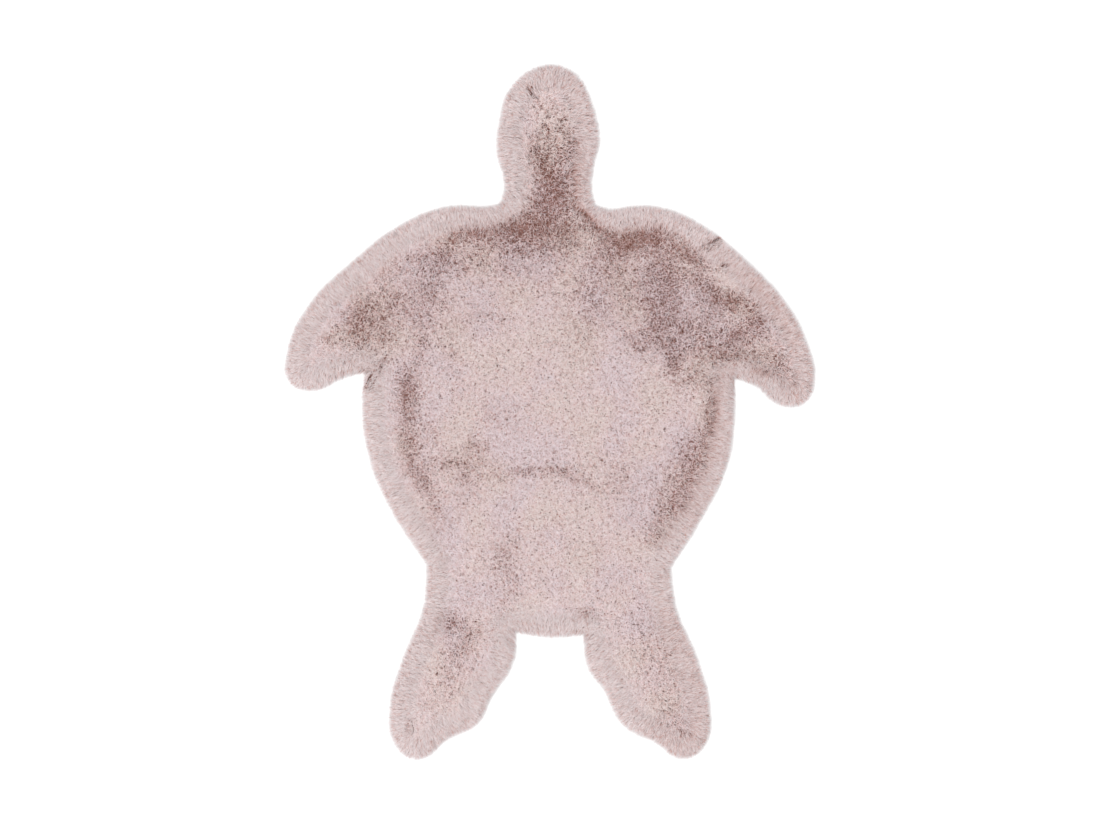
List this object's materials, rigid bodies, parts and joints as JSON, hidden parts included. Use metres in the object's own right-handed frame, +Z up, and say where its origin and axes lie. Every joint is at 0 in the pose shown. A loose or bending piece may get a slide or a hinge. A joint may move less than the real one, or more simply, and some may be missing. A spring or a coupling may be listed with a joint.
{
  "type": "turtle-shaped kids rug",
  "caption": "Long-pile plush floor rug cut to a turtle outline: round shell, rounded head, two swept front flippers and two hind flippers, lying flat.",
  "frame": {"origin": "on the floor, under the middle of the rug's bounding box", "axes": "+Z up out of the pile, +Y from the hind flippers to the head, +X to the right with the head pointing away"},
  "size_m": [0.689, 0.9, 0.0195],
  "materials": {
    "plush": "matt dusty pink faux fur, darker mauve-brown where the pile is parted"
  },
  "bodies": {
    "root": {"rug": "plush"}
  },
  "joints": []
}
